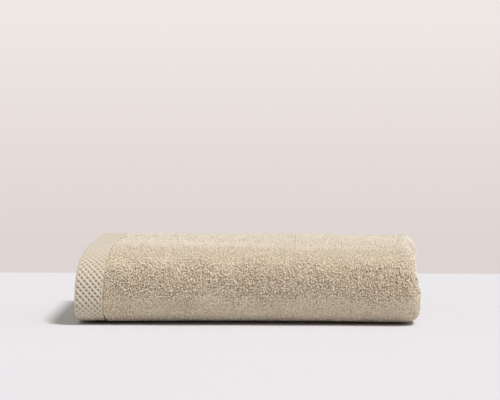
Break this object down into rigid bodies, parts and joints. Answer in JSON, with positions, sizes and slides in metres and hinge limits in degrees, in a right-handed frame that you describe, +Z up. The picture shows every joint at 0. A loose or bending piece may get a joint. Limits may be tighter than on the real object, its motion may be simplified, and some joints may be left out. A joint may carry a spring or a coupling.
{
  "type": "folded bath towel",
  "caption": "Cotton terry bath towel folded in thirds for a shelf, with flat honeycomb borders at one end; its top third opens forward over the front roll.",
  "frame": {"origin": "middle of the footprint, on the surface that the towel lies on", "axes": "+X along the front roll, from the bordered end to the plain folded end; +Y from the front roll to the back; +Z up"},
  "size_m": [0.35, 0.235, 0.0731],
  "materials": {
    "terry_pile": "matte",
    "woven_border": "matte",
    "side_hem_weave": "matte",
    "hem_thread": "matte",
    "label_ribbon": "satin"
  },
  "bodies": {
    "folded_base": {"bottom_outer_layer": "terry_pile", "bottom_inner_layer": "terry_pile", "bottom_outer_border": "woven_border", "bottom_inner_border": "woven_border", "lower_front_bend": "terry_pile", "back_outer_layer": "terry_pile", "back_inner_layer": "terry_pile", "back_outer_border": "woven_border", "back_inner_border": "woven_border", "middle_outer_layer": "terry_pile", "middle_inner_layer": "terry_pile", "middle_outer_border": "woven_border", "middle_inner_border": "woven_border", "middle_side_hem": "side_hem_weave", "bottom_border_stitching": "hem_thread", "back_border_stitching": "hem_thread", "middle_border_stitching": "hem_thread", "middle_side_stitching": "hem_thread"},
    "front_roll": {"front_outer_layer": "terry_pile", "front_inner_layer": "terry_pile", "front_outer_border": "woven_border", "front_inner_border": "woven_border", "front_border_stitching": "hem_thread"},
    "top_third": {"top_outer_layer": "terry_pile", "top_inner_layer": "terry_pile", "top_outer_border": "woven_border", "top_inner_border": "woven_border", "top_side_hem": "side_hem_weave", "top_border_stitching": "hem_thread", "top_side_stitching": "hem_thread", "upper_front_bend": "terry_pile", "care_label": "label_ribbon"}
  },
  "joints": [
    {"name": "lower_front_fold", "type": "hinge", "parent": "folded_base", "child": "front_roll", "pos_m": [0, -0.10545, 0.01205], "axis": [1, 0, 0], "range_deg": [0, 90]},
    {"name": "upper_front_fold", "type": "hinge", "parent": "front_roll", "child": "top_third", "pos_m": [0, -0.10545, 0.06105], "axis": [1, 0, 0], "range_deg": [0, 90]}
  ],
  "couplings": [
    {"joint": "upper_front_fold", "follows": "lower_front_fold", "ratio": 1}
  ]
}
